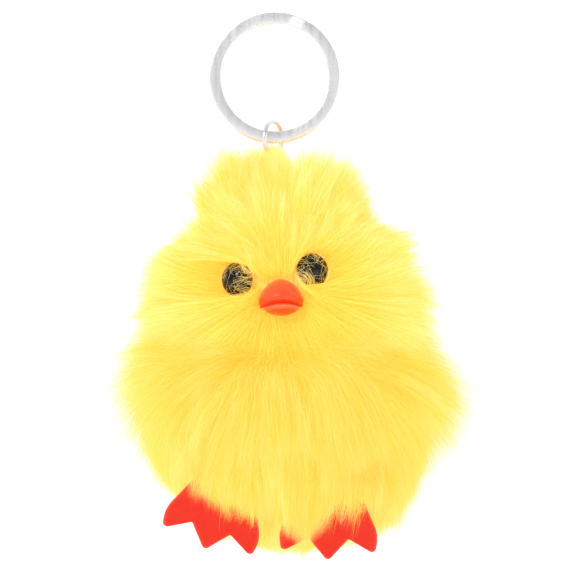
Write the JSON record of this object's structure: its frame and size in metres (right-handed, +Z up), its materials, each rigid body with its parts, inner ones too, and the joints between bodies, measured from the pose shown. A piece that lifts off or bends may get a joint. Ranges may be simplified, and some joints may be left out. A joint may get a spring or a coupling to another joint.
{
  "type": "plush keychain",
  "caption": "Fluffy long-pile plush chick with domed eyes, moulded beak and flat webbed feet, hung by a cord and jump ring from a flat split key ring.",
  "frame": {"origin": "inside top of the key ring, where the object hangs on a hook or a bag loop", "axes": "+Z up, +X to the viewer's right when the face is seen, the face looks along -Y"},
  "size_m": [0.0724, 0.065, 0.125],
  "materials": {
    "steel": "satin",
    "wire": "satin",
    "cord": "matte",
    "thread": "matte",
    "fur": "matte",
    "stuffing": "matte",
    "eye": "gloss",
    "washer": "matte",
    "beak": "gloss",
    "foot": "matte"
  },
  "bodies": {
    "ring": {"key_ring": "steel"},
    "link": {"jump_ring": "wire"},
    "loop": {"hang_loop": "cord"},
    "head": {"crown_gathering_thread": "thread", "head_fur_cover": "fur", "head_stuffing": "stuffing", "left_eye": "eye", "right_eye": "eye", "left_eye_washer": "washer", "right_eye_washer": "washer", "beak": "beak", "beak_washer": "washer"},
    "torso": {"neck_gathering_thread": "thread", "body_fur_cover": "fur", "body_stuffing": "stuffing", "base_gathering_thread": "thread"},
    "left_foot": {"left_foot": "foot", "left_foot_stitch_1": "thread", "left_foot_stitch_2": "thread", "left_foot_stitch_3": "thread"},
    "right_foot": {"right_foot": "foot", "right_foot_stitch_1": "thread", "right_foot_stitch_2": "thread", "right_foot_stitch_3": "thread"}
  },
  "joints": [
    {"name": "link_swing", "type": "hinge", "parent": "ring", "child": "link", "pos_m": [-0.0004, 0, -0.02625], "axis": [1, 0, 0], "range_deg": [-90, 90]},
    {"name": "loop_swing", "type": "hinge", "parent": "link", "child": "loop", "pos_m": [-0.0004, 0, -0.03055], "axis": [0.506, 0.8625, 0], "range_deg": [-35, 35]},
    {"name": "cord_twist", "type": "hinge", "parent": "loop", "child": "head", "pos_m": [-0.0004, 0, -0.044], "axis": [0, 0, 1], "range_deg": [-90, 90], "stiffness_Nm_per_rad": 0.00002},
    {"name": "neck_twist", "type": "hinge", "parent": "head", "child": "torso", "pos_m": [0.0012, 0, -0.0761], "axis": [0, 0, 1], "range_deg": [-30, 30], "stiffness_Nm_per_rad": 0.002},
    {"name": "left_foot_flap", "type": "hinge", "parent": "torso", "child": "left_foot", "pos_m": [-0.0102, -0.022, -0.1029], "axis": [-0.9489, 0, 0.3156], "range_deg": [-4, 40], "stiffness_Nm_per_rad": 0.0005},
    {"name": "right_foot_flap", "type": "hinge", "parent": "torso", "child": "right_foot", "pos_m": [0.0126, -0.022, -0.1045], "axis": [-0.9995, 0, 0.0332], "range_deg": [-4, 40], "stiffness_Nm_per_rad": 0.0005}
  ]
}
